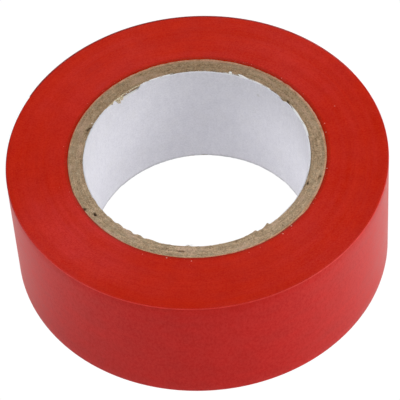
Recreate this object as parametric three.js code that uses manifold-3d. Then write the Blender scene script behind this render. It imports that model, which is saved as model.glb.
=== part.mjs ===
// Roll of PVC electrical tape, 19 mm wide, on a spirally wound paperboard core.
//
// Frame: millimetres, +Z along the roll's axis, origin at the centre of the bottom face.
// The roll lies flat. Angles are in degrees, counter-clockwise from +X seen from above.
// Wound outwards the tape runs counter-clockwise; its free end is at 150 degrees.
//
// Anatomy, from the bore outwards:
//   core_liner_paper            white lining paper of the bore
//   core_board_ply_1 .. _5      grey-brown chipboard plies
//   core_kraft_ply              kraft outer ply that the first turn of tape sticks to
//   tape_wound_turns            the stuck turns below the outermost one
//   tape_outer_turn             outermost stuck turn; its step marks the peel line
//   tape_end_strip_1 .. _12     the last stretch of the strip, from the peel line outwards
//   tape_end_tab                the starting tab, the first thing a finger lifts
//
// Each core ply is a strip of paper wound on a helix, so it has one slanted butt seam,
// staggered from ply to ply. The plies are a glue line apart.
import * as THREE from "three";
import { mergeVertices } from "three/addons/utils/BufferGeometryUtils.js";
import Module from "manifold-3d";

const wasm = await Module();
wasm.setup();

const { degToRad, radToDeg } = THREE.MathUtils;

// ---- roll and tape, mm ----
const TAPE_WIDTH = 19;
const TAPE_THICKNESS = 0.12; // PVC backing plus adhesive
const BACKING = 0.1; // PVC backing alone, the solid part of a lifted strip
const ROLL_RADIUS = 54 / 2;
const BORE_RADIUS = 31.7 / 2;
const TURN_CLEARANCE = 0.02; // between the wound turns and the outermost stuck one

// ---- the free end ----
const FREE_END_DEG = 150; // where the tape ends
const TAB_DEG = 12;
const STRIPS = 12;
const STRIP_DEG = 9;
const TAB_START_DEG = FREE_END_DEG - TAB_DEG;
const PEEL_DEG = TAB_START_DEG - STRIPS * STRIP_DEG; // where the stuck turn ends
const KNIFE_GAP = 0.02; // at the start of each link of the free end

// ---- facets on a full turn ----
const FACETS = 120;
const STEP_DEG = 360 / FACETS;

// ---- materials ----
const matte = ({ color, roughness }) =>
  new THREE.MeshStandardMaterial({ color, roughness, metalness: 0 });
const redPvc = matte({ color: 0xb82618, roughness: 0.42 });
const chipboard = matte({ color: 0xa58c6e, roughness: 0.92 });
const kraftPaper = matte({ color: 0xbd9a72, roughness: 0.88 });
const whitePaper = matte({ color: 0xd8d8e2, roughness: 0.9 });

// ---- core plies, from the bore outwards; a seam's angle is taken at the top face ----
const GLUE_LINE = 0.02;
const BOARD_SEAMS_DEG = [157.7, -23.1, -100.6, -147.8, -17.4];
const CORE_PLIES = [
  { name: "core_liner_paper", thickness: 0.15, material: whitePaper, seamDeg: -41 },
  ...BOARD_SEAMS_DEG.map((seamDeg, i) => ({
    name: `core_board_ply_${i + 1}`,
    thickness: 0.38,
    material: chipboard,
    seamDeg,
  })),
  { name: "core_kraft_ply", thickness: 0.18, material: kraftPaper, seamDeg: -153.3 },
];

// ---- core seams ----
const SEAM_ANGLE = degToRad(55); // between a ply's edge and the tube's axis
const SEAM_GAP = 0.4; // width of a butt joint, across the seam
const SEAM_LEVELS = 12; // height segments of a seam cutter
const CUTTER_END_OVERRUN = 1; // past the top and bottom faces
const CUTTER_WALL_OVERRUN = 0.6; // past a ply's inner and outer walls

// ---- outlines ----
const polar = (radius, deg) =>
  new THREE.Vector2(radius * Math.cos(degToRad(deg)), radius * Math.sin(degToRad(deg)));

const circle = (radius) =>
  Array.from({ length: FACETS }, (_, i) => polar(radius, i * STEP_DEG));

// Radius of the tape's outer face, measured back along the strip from its free end.
const spiralRadius = (degFromEnd) => ROLL_RADIUS - (TAPE_THICKNESS * degFromEnd) / 360;

// A prism on the full width of the tape.
const prism = (outline, hole) => {
  const shape = new THREE.Shape(outline);
  if (hole) shape.holes.push(new THREE.Path(hole));
  return new THREE.ExtrudeGeometry(shape, {
    depth: TAPE_WIDTH,
    bevelEnabled: false,
    steps: 1,
  });
};

// ---- to and from solids, for the cuts ----
const WELD_TOLERANCE = 1e-4;

const solidFromMesh = (positions, indices) =>
  new wasm.Manifold(
    new wasm.Mesh({
      numProp: 3,
      vertProperties: new Float32Array(positions),
      triVerts: new Uint32Array(indices),
    }),
  );

// Normals and uvs go first, as they would keep the vertices of an edge from welding.
const toSolid = (geometry) => {
  geometry.deleteAttribute("normal");
  geometry.deleteAttribute("uv");
  const welded = mergeVertices(geometry, WELD_TOLERANCE);
  return solidFromMesh(welded.attributes.position.array, welded.index.array);
};

const toGeometry = (solid) => {
  const mesh = solid.getMesh();
  const geometry = new THREE.BufferGeometry();
  geometry.setAttribute("position", new THREE.Float32BufferAttribute(mesh.vertProperties, 3));
  geometry.setIndex(new THREE.Uint32BufferAttribute(mesh.triVerts, 1));
  geometry.computeVertexNormals();
  return geometry;
};

// A thin helical fin that cuts a ply's butt seam: a stack of four-cornered sections.
const seamCutter = (innerRadius, outerRadius, topDeg) => {
  const bottomZ = -CUTTER_END_OVERRUN;
  const height = TAPE_WIDTH + 2 * CUTTER_END_OVERRUN;
  const midRadius = (innerRadius + outerRadius) / 2;
  const halfDeg = radToDeg(SEAM_GAP / Math.cos(SEAM_ANGLE) / midRadius) / 2;
  const degPerMm = radToDeg(Math.tan(SEAM_ANGLE) / midRadius);
  const finInner = innerRadius - CUTTER_WALL_OVERRUN;
  const finOuter = outerRadius + CUTTER_WALL_OVERRUN;
  // radius, angle from the middle of the seam
  const corners = [
    [finInner, -halfDeg],
    [finOuter, -halfDeg],
    [finOuter, halfDeg],
    [finInner, halfDeg],
  ];

  const positions = [];
  for (let i = 0; i <= SEAM_LEVELS; i++) {
    const z = bottomZ + (height * i) / SEAM_LEVELS;
    const midDeg = topDeg + (z - TAPE_WIDTH) * degPerMm;
    for (const [radius, offsetDeg] of corners) {
      const point = polar(radius, midDeg + offsetDeg);
      positions.push(point.x, point.y, z);
    }
  }

  const indices = [];
  const quad = (a, b, c, d) => indices.push(a, b, c, a, c, d);
  for (let i = 0; i < SEAM_LEVELS; i++) {
    const low = 4 * i;
    const high = low + 4;
    for (let k = 0; k < 4; k++) {
      const next = (k + 1) % 4;
      quad(low + k, low + next, high + next, high + k);
    }
  }
  const top = 4 * SEAM_LEVELS;
  quad(3, 2, 1, 0);
  quad(top, top + 1, top + 2, top + 3);
  return solidFromMesh(positions, indices);
};

const roll = new THREE.Group();
const add = (name, geometry, material) => {
  const mesh = new THREE.Mesh(geometry, material);
  mesh.name = name;
  roll.add(mesh);
};

// ---- the core ----
// Returns the radius at which the tape starts, a glue line outside the last ply.
const addCore = () => {
  let innerRadius = BORE_RADIUS;
  for (const { name, thickness, material, seamDeg } of CORE_PLIES) {
    const outerRadius = innerRadius + thickness;
    const tube = toSolid(prism(circle(outerRadius), circle(innerRadius)));
    const cutter = seamCutter(innerRadius, outerRadius, seamDeg);
    add(name, toGeometry(tube.subtract(cutter)), material);
    innerRadius = outerRadius + GLUE_LINE;
  }
  return innerRadius;
};

// ---- the stuck turns ----
const OUTER_TURN_INNER_RADIUS =
  spiralRadius(FREE_END_DEG - PEEL_DEG + 360) - TAPE_THICKNESS;

const addWoundTurns = (innerRadius) => {
  const outline = circle(OUTER_TURN_INNER_RADIUS - TURN_CLEARANCE);
  add("tape_wound_turns", prism(outline, circle(innerRadius)), redPvc);
};

// The outermost stuck turn ends in a step one tape thick at the peel line.
const addOuterTurn = () => {
  const outline = [];
  for (let i = 0; i <= FACETS; i++) {
    const deg = PEEL_DEG + i * STEP_DEG;
    outline.push(polar(spiralRadius(FREE_END_DEG + 360 - deg), deg));
  }
  add("tape_outer_turn", prism(outline, circle(OUTER_TURN_INNER_RADIUS)), redPvc);
};

// ---- the free end, link by link ----
const GAP_SHARE = radToDeg(KNIFE_GAP / ROLL_RADIUS) / STEP_DEG; // of one facet

// One face of a link, inset from the tape's outer face.
const linkFace = (fromDeg, toDeg, inset) => {
  const pointAt = (deg) => polar(spiralRadius(FREE_END_DEG - deg) - inset, deg);
  // the first point lies on the flat of the facet, a knife gap past its corner
  const points = [pointAt(fromDeg).lerp(pointAt(fromDeg + STEP_DEG), GAP_SHARE)];
  for (let deg = fromDeg + STEP_DEG; deg <= toDeg; deg += STEP_DEG) {
    points.push(pointAt(deg));
  }
  return points;
};

const addLink = (name, fromDeg, toDeg) => {
  const outer = linkFace(fromDeg, toDeg, 0);
  const inner = linkFace(fromDeg, toDeg, BACKING);
  add(name, prism([...outer, ...inner.reverse()]), redPvc);
};

const addFreeEnd = () => {
  for (let k = 0; k < STRIPS; k++) {
    const fromDeg = PEEL_DEG + k * STRIP_DEG;
    addLink(`tape_end_strip_${k + 1}`, fromDeg, fromDeg + STRIP_DEG);
  }
  addLink("tape_end_tab", TAB_START_DEG, FREE_END_DEG);
};

const tapeStartRadius = addCore();
addWoundTurns(tapeStartRadius);
addOuterTurn();
addFreeEnd();

export default roll;
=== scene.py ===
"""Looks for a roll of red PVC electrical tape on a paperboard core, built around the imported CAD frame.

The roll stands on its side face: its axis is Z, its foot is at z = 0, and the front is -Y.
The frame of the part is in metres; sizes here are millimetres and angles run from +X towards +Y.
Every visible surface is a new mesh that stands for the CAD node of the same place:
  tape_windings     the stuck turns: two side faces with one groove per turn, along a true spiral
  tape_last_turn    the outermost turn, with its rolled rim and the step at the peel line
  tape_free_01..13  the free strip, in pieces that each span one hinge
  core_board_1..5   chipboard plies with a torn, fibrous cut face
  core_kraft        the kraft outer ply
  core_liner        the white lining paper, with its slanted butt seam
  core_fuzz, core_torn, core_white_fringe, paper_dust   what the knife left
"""
import bpy
import math
import numpy as np
from functools import cached_property
from itertools import product
from mathutils import Matrix, Vector


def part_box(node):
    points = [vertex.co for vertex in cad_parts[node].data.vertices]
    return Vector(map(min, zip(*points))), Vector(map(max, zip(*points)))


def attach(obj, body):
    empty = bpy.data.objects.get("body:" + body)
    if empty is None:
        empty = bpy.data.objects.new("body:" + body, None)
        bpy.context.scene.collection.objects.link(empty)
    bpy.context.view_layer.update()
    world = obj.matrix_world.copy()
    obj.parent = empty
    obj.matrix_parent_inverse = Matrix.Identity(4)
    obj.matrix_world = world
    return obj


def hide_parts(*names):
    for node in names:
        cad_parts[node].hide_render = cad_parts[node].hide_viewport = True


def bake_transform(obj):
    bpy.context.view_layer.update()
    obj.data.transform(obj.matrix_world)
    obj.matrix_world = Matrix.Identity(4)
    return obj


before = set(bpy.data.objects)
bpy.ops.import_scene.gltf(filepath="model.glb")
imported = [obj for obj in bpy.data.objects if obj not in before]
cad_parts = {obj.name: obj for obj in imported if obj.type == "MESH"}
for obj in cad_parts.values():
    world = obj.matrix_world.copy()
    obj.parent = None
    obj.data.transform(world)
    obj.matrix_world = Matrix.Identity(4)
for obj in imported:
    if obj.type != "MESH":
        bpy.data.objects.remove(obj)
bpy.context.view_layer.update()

MM = 0.001
TAU = 2 * math.pi

# ---------------------------------------------------------------- sizes, mm


def cad_radius(node):
    low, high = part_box(node)
    return (high[0] - low[0]) * 500


wound_lo, wound_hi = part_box("tape_wound_turns")
HEIGHT = (wound_hi[2] - wound_lo[2]) * 1000  # 19
WOUND_R = cad_radius("tape_wound_turns")  # 26.70
CORE_R = cad_radius("core_kraft_ply")  # 18.20
LINER_R = cad_radius("core_liner_paper")  # 16.00, outside of the liner
BORE_R = LINER_R - 0.15
ROLL_R = WOUND_R + 0.30  # 27.00
TAPE = 0.12  # thickness of the tape
FOOT = 0.28  # the core stops this far above the foot of the tape

# angles, degrees
PEEL = 30.0  # where the free strip leaves the roll
FREE_END = 150.0
LINK = 9.0  # from one hinge of the free strip to the next
LINKS = 12
TUBE_LEAN = 62.0  # the tube's top edge is shifted this way


def spiral(deg_from_end):
    """Outer radius of the tape, this many degrees before its free end."""
    return ROLL_R - TAPE * deg_from_end / 360.0


# ---------------------------------------------------------------- noise
def lattice_hash(ix, iy, iz, seed):
    with np.errstate(over="ignore"):
        value = (
            ix.astype(np.uint32) * np.uint32(374761393)
            + iy.astype(np.uint32) * np.uint32(668265263)
            + iz.astype(np.uint32) * np.uint32(2147483647)
            + np.uint32(seed) * np.uint32(1274126177)
        )
        value = (value ^ (value >> np.uint32(13))) * np.uint32(1274126177)
        value = (value ^ (value >> np.uint32(16))) * np.uint32(2246822519)
        value = value ^ (value >> np.uint32(15))
    return value.astype(np.float64) / 4294967295.0 * 2 - 1


def noise3(points, size, seed):
    """Smooth value noise in -1..1 at points (mm) with features of the given size (mm)."""
    scaled = np.asarray(points, float) / size + 1000.0
    cell = np.floor(scaled).astype(np.int64)
    frac = scaled - cell
    frac = frac * frac * (3 - 2 * frac)
    share = (1 - frac, frac)
    total = 0
    for dx, dy, dz in product((0, 1), repeat=3):
        weight = share[dx][..., 0] * share[dy][..., 1] * share[dz][..., 2]
        total = total + weight * lattice_hash(
            cell[..., 0] + dx, cell[..., 1] + dy, cell[..., 2] + dz, seed
        )
    return total


def fbm(points, size, seed, octaves=3, fall=0.5):
    """Noise summed over octaves, each half the size and fall times the strength of the last."""
    total, amp, norm = 0, 1.0, 0.0
    for octave in range(octaves):
        total = total + amp * noise3(points, size / 2**octave, seed + 17 * octave)
        norm += amp
        amp *= fall
    return total / norm


def ring_points(radius, theta, z):
    radius, theta, z = np.broadcast_arrays(
        np.asarray(radius, float), np.asarray(theta, float), np.asarray(z, float)
    )
    return np.stack([radius * np.cos(theta), radius * np.sin(theta), z], axis=-1)


def polar_point(radius, deg, z):
    theta = math.radians(deg)
    return (radius * math.cos(theta), radius * math.sin(theta), z)


def smoothstep(x):
    x = np.clip(x, 0, 1)
    return x * x * (3 - 2 * x)


def wrap(angle):
    return (angle + math.pi) % TAU - math.pi


# ---------------------------------------------------------------- meshes
def make(name, verts, faces, mats, smooth=True):
    mesh = bpy.data.meshes.new(name)
    mesh.from_pydata((np.asarray(verts, float) * MM).tolist(), [], faces)
    mesh.update()
    mesh.validate()
    ob = bpy.data.objects.new(name, mesh)
    bpy.context.scene.collection.objects.link(ob)
    for mat in mats:
        mesh.materials.append(mat)
    mesh.polygons.foreach_set("use_smooth", [smooth] * len(mesh.polygons))
    mesh.update()
    return ob


def face_outward(mesh):
    """Makes the mesh's faces point out, by the sign of its volume."""
    mesh.calc_loop_triangles()
    coords = np.zeros(len(mesh.vertices) * 3)
    mesh.vertices.foreach_get("co", coords)
    corners = np.zeros(len(mesh.loop_triangles) * 3, np.int32)
    mesh.loop_triangles.foreach_get("vertices", corners)
    tris = coords.reshape(-1, 3)[corners.reshape(-1, 3)]
    volume = np.einsum("ij,ij->i", tris[:, 0], np.cross(tris[:, 1], tris[:, 2])).sum() / 6
    if volume < 0:
        mesh.flip_normals()


def make_closed(name, rows, faces, mats, sharp_deg, mat_index=None):
    """A smooth closed mesh from a stack of vertex rows, with its sharp edges marked."""
    ob = make(name, np.asarray(rows).reshape(-1, 3), faces, mats)
    mesh = ob.data
    if mat_index is not None:
        mesh.polygons.foreach_set("material_index", np.asarray(mat_index, np.int32))
    mesh.set_sharp_from_angle(angle=math.radians(sharp_deg))
    mesh.update()
    face_outward(mesh)
    return ob


def grid_faces(rows, cols, closed_cols=False):
    """Quads of a grid closed across its rows; vertex (row, col) is row * cols + col."""
    row = np.arange(rows)
    col = np.arange(cols if closed_cols else cols - 1)
    row, col = np.meshgrid(row, col, indexing="ij")
    row_2, col_2 = (row + 1) % rows, (col + 1) % cols
    corners = ((row, col_2), (row_2, col_2), (row_2, col), (row, col))
    return np.stack([a * cols + b for a, b in corners], -1).reshape(-1, 4).tolist()


def strip_faces(rows, cols):
    """A grid closed across its rows, with a cap at the first and the last column."""
    faces = grid_faces(rows, cols)
    faces.append([k * cols for k in range(rows)])
    faces.append([k * cols + cols - 1 for k in range(rows)][::-1])
    return faces


def ride_roll(ob, node=None):
    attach(ob, "roll")
    if node:
        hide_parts(node)


# ---------------------------------------------------------------- materials
class Nodes:
    """A material and its node tree. Sizes are in mm; nodes for coordinates are made when first used."""

    def __init__(self, name):
        self.data = bpy.data.materials.new(name)
        self.data.use_nodes = True
        self.tree = self.data.node_tree
        self.tree.nodes.clear()
        self.out = self.new("ShaderNodeOutputMaterial")

    @cached_property
    def bsdf(self):
        node = self.new("ShaderNodeBsdfPrincipled")
        self.link(node.outputs["BSDF"], self.out.inputs["Surface"])
        return node

    @cached_property
    def coords(self):
        return self.new("ShaderNodeTexCoord").outputs["Object"]

    @cached_property
    def xyz(self):
        node = self.new("ShaderNodeSeparateXYZ")
        self.put(node.inputs[0], self.coords)
        return tuple(node.outputs)

    @cached_property
    def radius(self):
        x, y, _ = self.xyz
        metres = self.math("SQRT", self.add(self.mul(x, x), self.mul(y, y)))
        return self.mul(metres, 1000.0)

    @cached_property
    def angle(self):
        x, y, _ = self.xyz
        return self.math("ARCTAN2", y, x)

    @cached_property
    def height(self):
        return self.mul(self.xyz[2], 1000.0)

    def new(self, kind, **props):
        node = self.tree.nodes.new(kind)
        for key, value in props.items():
            setattr(node, key, value)
        return node

    def link(self, source, target):
        self.tree.links.new(source, target)

    def put(self, socket, value):
        if isinstance(value, bpy.types.NodeSocket):
            self.link(value, socket)
        else:
            socket.default_value = value

    def set(self, name, value):
        self.put(self.bsdf.inputs[name], value)

    def math(self, operation, *values):
        node = self.new("ShaderNodeMath", operation=operation)
        for socket, value in zip(node.inputs, values):
            self.put(socket, value)
        return node.outputs[0]

    def add(self, first, second):
        return self.math("ADD", first, second)

    def mul(self, first, second):
        return self.math("MULTIPLY", first, second)

    def weigh(self, *terms):
        """Sum of (value, weight) terms."""
        total = self.mul(*terms[-1])
        for term in terms[-2::-1]:
            total = self.add(self.mul(*term), total)
        return total

    def vec(self, operation, *values):
        node = self.new("ShaderNodeVectorMath", operation=operation)
        for socket, value in zip(node.inputs, values):
            self.put(socket, value)
        return node.outputs["Value" if operation == "LENGTH" else "Vector"]

    def join(self, x, y, z):
        node = self.new("ShaderNodeCombineXYZ")
        for socket, value in zip(node.inputs, (x, y, z)):
            self.put(socket, value)
        return node.outputs[0]

    def arc(self, at_radius):
        """Length round the axis at a radius."""
        return self.mul(self.angle, at_radius)

    def around(self, arc, stretch, third):
        """A vector whose noise is drawn out along the turns; third picks the slice."""
        return self.join(self.radius, self.mul(arc, stretch), third)

    def toward(self, deg):
        """Cosine of the angle from a direction."""
        return self.math("COSINE", self.math("SUBTRACT", self.angle, math.radians(deg)))

    def lobe(self, deg, sharp):
        """1 at an angle, falling off to both sides."""
        return self.math("POWER", self.math("MAXIMUM", self.toward(deg), 0.0), sharp)

    def add_lobes(self, value, lobes):
        for deg, sharp, much in lobes:
            value = self.add(value, self.mul(self.lobe(deg, sharp), much))
        return value

    def across(self, wave):
        """0..1 across the roll: from -Y to +Y with SINE, from -X to +X with COSINE."""
        return self.remap(self.math(wave, self.angle), src=(-1.0, 1.0))

    def noise(self, size, detail=2.0, rough=0.5, vector=None, offset=0.0):
        """Noise of a feature size; a vector in mm may replace the object coordinates."""
        node = self.new("ShaderNodeTexNoise")
        scale = 1.0 / size
        if vector is None:
            vector = self.coords
            scale = 1000.0 / size
        if offset:
            vector = self.vec("ADD", vector, (offset, offset * 0.7, -offset * 1.3))
        self.put(node.inputs["Vector"], vector)
        node.inputs["Scale"].default_value = scale
        node.inputs["Detail"].default_value = detail
        node.inputs["Roughness"].default_value = rough
        return node.outputs["Fac"]

    def speckle(self, size, offset, vector=None):
        """Hard fine grain, 0..1."""
        grain = self.noise(size, detail=3.0, rough=0.75, vector=vector, offset=offset)
        return self.remap(grain, src=(0.37, 0.63))

    def ramp(self, fac, stops):
        node = self.new("ShaderNodeValToRGB")
        elements = node.color_ramp.elements
        while len(elements) < len(stops):
            elements.new(0.5)
        for element, (position, colour) in zip(elements, stops):
            element.position = position
            element.color = (*colour, 1.0)
        self.put(node.inputs[0], fac)
        return node.outputs[0]

    def remap(self, value, src, to=(0.0, 1.0)):
        node = self.new("ShaderNodeMapRange", clamp=True)
        for socket, item in zip(node.inputs, (value, *src, *to)):
            self.put(socket, item)
        return node.outputs[0]

    def mix(self, fac, first, second, blend="MIX"):
        node = self.new("ShaderNodeMix", data_type="RGBA", blend_type=blend)
        self.put(node.inputs[0], fac)
        for socket, value in ((node.inputs[6], first), (node.inputs[7], second)):
            if isinstance(value, tuple):
                value = (*value, 1.0)
            self.put(socket, value)
        return node.outputs[2]

    def tint(self, colour, fac, low, high):
        """Multiplies a colour by low where fac is 0 and by high where it is 1."""
        return self.mix(1.0, colour, self.mix(fac, low, high), "MULTIPLY")

    def bump(self, height, depth, strength):
        node = self.new("ShaderNodeBump")
        node.inputs["Strength"].default_value = strength
        node.inputs["Distance"].default_value = depth * MM
        self.put(node.inputs["Height"], height)
        self.set("Normal", node.outputs[0])


WHITE = (1.0, 1.0, 1.0)

# Linear colours by tone
EDGE_RED = (
    (0.34, (0.548, 0.0112, 0.00002)),
    (0.50, (0.590, 0.0146, 0.00003)),
    (0.68, (0.636, 0.0184, 0.00005)),
)
FACE_RED = (
    (0.30, (0.560, 0.0014, 0.00035)),
    (0.52, (0.609, 0.0020, 0.0005)),
    (0.75, (0.655, 0.0029, 0.0009)),
)

# Uneven gloss round the roll: angle, sharpness, amount. These are fitted numbers that stand in
# for light the lamps don't give, not a known property of the tape. They turn with the roll.
EDGE_LOBES = (
    (-148.0, 10.0, 1.22), (-22.0, 30.0, -0.08), (-171.0, 50.0, -0.34), (-60.0, 14.0, 0.18),
    (38.0, 16.0, 0.45), (88.0, 30.0, -0.10), (112.0, 40.0, 0.14), (150.0, 24.0, 0.42),
)
FACE_LOBES = ((-32.0, 14.0, 0.34), (-9.0, 34.0, 0.75), (-52.0, 30.0, 0.16), (-164.0, 30.0, 0.50))

# A grey rub mark on the liner
MARK_R, MARK_DEG, MARK_Z = 15.83, 53.2, 16.48
MARK = polar_point(MARK_R, MARK_DEG, MARK_Z)


def pvc_edge_material():
    """The wound side faces: slit PVC, a hairline per turn, a sheen that spreads across them."""
    mat = Nodes("pvc_wound_edge")
    arc = mat.arc(at_radius=22.0)
    # colour: slow mottling, a little tone per turn, and arcs where the knife dragged
    mottle = mat.noise(size=2.6, detail=3.0, rough=0.55)
    per_turn = mat.noise(size=0.12, detail=1.0, vector=mat.around(arc, stretch=0.006, third=0.0))
    bands = mat.noise(size=1.1, vector=mat.around(arc, stretch=0.02, third=3.0))
    tone = mat.weigh((mottle, 0.45), (per_turn, 0.22), (bands, 0.33))
    col = mat.ramp(tone, EDGE_RED)
    # the slit edge of every turn breaks the light up into a fine grain
    speck = mat.speckle(size=0.24, offset=4.4)
    col = mat.tint(col, speck, low=(0.965, 0.62, 0.7), high=(1.035, 1.38, 1.3))
    # painted shade, fitted: a dark ring next to the tube, whose edge is a touch off the
    # axis; a dark ring next to the tube, whose edge is a touch off the axis; fitted, cause
    # unknown
    tube_r = mat.add(mat.mul(mat.toward(TUBE_LEAN), 0.19), 18.26)
    from_tube = mat.math("SUBTRACT", mat.radius, tube_r)
    tube_ring_shade = mat.remap(from_tube, src=(0.14, 0.54), to=(1.0, 0.0))
    col = mat.tint(col, tube_ring_shade, low=WHITE, high=(0.71, 1.02, 0.95))
    mat.set("Base Color", col)
    rough = mat.weigh((mottle, 0.5), (bands, 0.5))
    mat.set("Roughness", mat.remap(rough, src=(0.35, 0.65), to=(0.39, 0.46)))
    # gloss: patches, painted sheen in lobes by angle, and faint rings along the turns
    patch = mat.noise(size=4.2, detail=3.0, rough=0.6, offset=5.1)
    patch = mat.remap(patch, src=(0.36, 0.64), to=(0.31, 0.53))
    painted_sheen = mat.add_lobes(0.64, EDGE_LOBES)
    ring_path = mat.around(arc, stretch=0.03, third=11.0)
    ring = mat.noise(size=1.1, detail=3.0, rough=0.6, vector=ring_path)
    ring = mat.remap(ring, src=(0.36, 0.64), to=(0.66, 1.34))
    ring = mat.mul(ring, mat.remap(mat.radius, src=(23.4, 24.6), to=(1.06, 0.90)))
    # the painted shade ring next to the tube also lowers the gloss
    painted_sheen = mat.mul(painted_sheen, mat.remap(tube_ring_shade, src=(0.0, 1.0), to=(1.0, 0.7)))
    gloss = mat.mul(mat.mul(patch, ring), painted_sheen)
    grain_gloss = mat.remap(speck, src=(0.0, 1.0), to=(0.5, 1.5))
    mat.set("Specular IOR Level", mat.mul(gloss, grain_gloss))
    mat.set("Specular Tint", (1.0, 0.083, 0.125, 1.0))
    mat.set("Anisotropic", 0.90)
    mat.set("Anisotropic Rotation", 0.25)
    tangent = mat.new("ShaderNodeTangent", direction_type="RADIAL", axis="Z")
    mat.set("Tangent", tangent.outputs[0])
    grain = mat.noise(size=0.16, rough=0.6)
    lines = mat.noise(size=0.06, detail=1.0, vector=mat.around(arc, stretch=0.01, third=7.0))
    mat.bump(mat.weigh((grain, 0.35), (lines, 0.65)), depth=0.006, strength=0.5)
    return mat.data


def pvc_face_material():
    """The tape's outer face: satin calendered PVC."""
    mat = Nodes("pvc_tape_face")
    arc = mat.arc(at_radius=26.6)
    streak_path = mat.join(mat.mul(arc, 0.18), mat.height, mat.radius)
    streak = mat.noise(size=1.6, detail=3.0, rough=0.55, vector=streak_path)
    mottle = mat.noise(size=3.4, detail=3.0, rough=0.55, offset=0.31)
    tone = mat.weigh((streak, 0.45), (mottle, 0.55))
    col = mat.ramp(tone, FACE_RED)
    # the calender's matt grain, drawn out a little across the tape
    grain_path = mat.join(arc, mat.mul(mat.height, 0.55), mat.radius)
    speck = mat.speckle(size=0.26, offset=2.2, vector=grain_path)
    col = mat.tint(col, speck, low=(0.955, 0.85, 0.85), high=(1.045, 1.15, 1.15))
    # painted light, fitted like the lobes: a paler base makes up for missing light at the grazing end
    painted_grazing_light = mat.lobe(-9.0, sharp=34.0)
    col = mat.tint(col, painted_grazing_light, low=WHITE, high=(0.92, 1.15, 1.20))
    mat.set("Base Color", col)
    tone_rough = mat.remap(tone, src=(0.35, 0.65), to=(0.35, 0.39))
    mat.set("Roughness", mat.add(tone_rough, mat.remap(speck, src=(0.0, 1.0), to=(-0.05, 0.05))))
    # painted sheen: gloss raised and lowered in fitted lobes by angle round the roll
    painted_sheen = mat.add_lobes(1.0, FACE_LOBES)
    grain_gloss = mat.remap(speck, src=(0.0, 1.0), to=(0.105, 0.311))
    mat.set("Specular IOR Level", mat.mul(painted_sheen, grain_gloss))
    mat.set("Specular Tint", (1.0, 0.594, 0.412, 1.0))
    fine = mat.noise(size=0.075, rough=0.6)
    pebble = mat.noise(size=0.30, offset=0.11)
    mat.bump(mat.weigh((fine, 0.55), (pebble, 0.45)), depth=0.012, strength=0.6)
    return mat.data


def adhesive_material():
    """Underside of the tape: a clear rubber adhesive film over the red."""
    mat = Nodes("pvc_adhesive_side")
    streak = mat.noise(size=0.7, detail=3.0, rough=0.6)
    stops = ((0.3, (0.34, 0.012, 0.008)), (0.7, (0.46, 0.02, 0.012)))
    mat.set("Base Color", mat.ramp(streak, stops))
    mat.set("Roughness", mat.remap(streak, src=(0.3, 0.7), to=(0.16, 0.34)))
    mat.set("Coat Weight", 0.4)
    mat.set("Coat Roughness", 0.12)
    mat.bump(mat.noise(size=0.25, detail=3.0, rough=0.6), depth=0.01, strength=0.5)
    return mat.data


def board_material(name, light):
    """Recycled chipboard: short grey and tan fibres, dark flecks, pale bits, faint rings."""
    mat = Nodes(name)

    def lit(*colour):
        return tuple(channel * light for channel in colour)

    arc = mat.arc(at_radius=17.0)
    blotch = mat.noise(size=0.62, detail=3.0, rough=0.6)
    fibre_path = mat.around(arc, stretch=0.62, third=mat.height)
    fibre = mat.noise(size=0.145, detail=3.0, rough=0.65, vector=fibre_path)
    rings = mat.noise(size=0.14, detail=1.0, vector=mat.around(arc, stretch=0.05, third=2.0))
    stops = (
        (0.36, lit(0.195, 0.132, 0.076)),
        (0.45, lit(0.340, 0.246, 0.150)),
        (0.53, lit(0.465, 0.338, 0.214)),
        (0.65, lit(0.660, 0.500, 0.355)),
    )
    col = mat.ramp(mat.weigh((blotch, 0.32), (fibre, 0.50), (rings, 0.18)), stops)
    grey = mat.noise(size=0.55, detail=3.0, rough=0.6, offset=0.41)
    grey = mat.remap(grey, src=(0.48, 0.66), to=(0.0, 0.50))
    col = mat.mix(grey, col, lit(0.375, 0.325, 0.225))
    pink = mat.noise(size=1.4, vector=mat.around(arc, stretch=0.25, third=9.0))
    pink = mat.remap(pink, src=(0.54, 0.68), to=(0.0, 0.55))
    col = mat.mix(pink, col, lit(0.60, 0.42, 0.32))
    dark = mat.remap(mat.noise(size=0.17, offset=0.77), src=(0.62, 0.70), to=(0.0, 0.70))
    col = mat.mix(dark, col, (0.110, 0.072, 0.044))
    bright = mat.remap(mat.noise(size=0.17, offset=1.9), src=(0.64, 0.71), to=(0.0, 0.65))
    col = mat.mix(bright, col, (0.78, 0.66, 0.52))
    # fitted: paler at the front and darker at the rear, in place of shading the lamps don't give
    rear = mat.across("SINE")
    col = mat.tint(col, rear, low=(1.155, 1.130, 1.125), high=(0.796, 0.730, 0.668))
    mat.set("Base Color", col)
    mat.set("Roughness", mat.remap(fibre, src=(0.3, 0.7), to=(0.82, 0.98)))
    mat.set("Specular IOR Level", 0.2)
    fine = mat.noise(size=0.07, rough=0.6, offset=0.2)
    mat.bump(mat.weigh((fibre, 0.6), (fine, 0.4)), depth=0.05, strength=0.6)
    return mat.data


def kraft_material():
    """Brown kraft paper."""
    mat = Nodes("core_kraft_paper")
    fibre = mat.noise(size=0.14, detail=3.0, rough=0.6)
    blotch = mat.noise(size=0.8, offset=0.3)
    stops = ((0.38, (0.48, 0.230, 0.115)), (0.5, (0.66, 0.355, 0.205)), (0.62, (0.82, 0.52, 0.35)))
    col = mat.ramp(mat.weigh((fibre, 0.6), (blotch, 0.4)), stops)
    # painted shade, fitted: darker at the rear, as for the chipboard
    col = mat.tint(col, mat.across("SINE"), low=(1.03, 1.02, 1.0), high=(0.78, 0.745, 0.72))
    mat.set("Base Color", col)
    mat.set("Roughness", mat.remap(fibre, src=(0.3, 0.7), to=(0.8, 0.95)))
    mat.set("Specular IOR Level", 0.25)
    mat.bump(fibre, depth=0.03, strength=0.6)
    return mat.data


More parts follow.
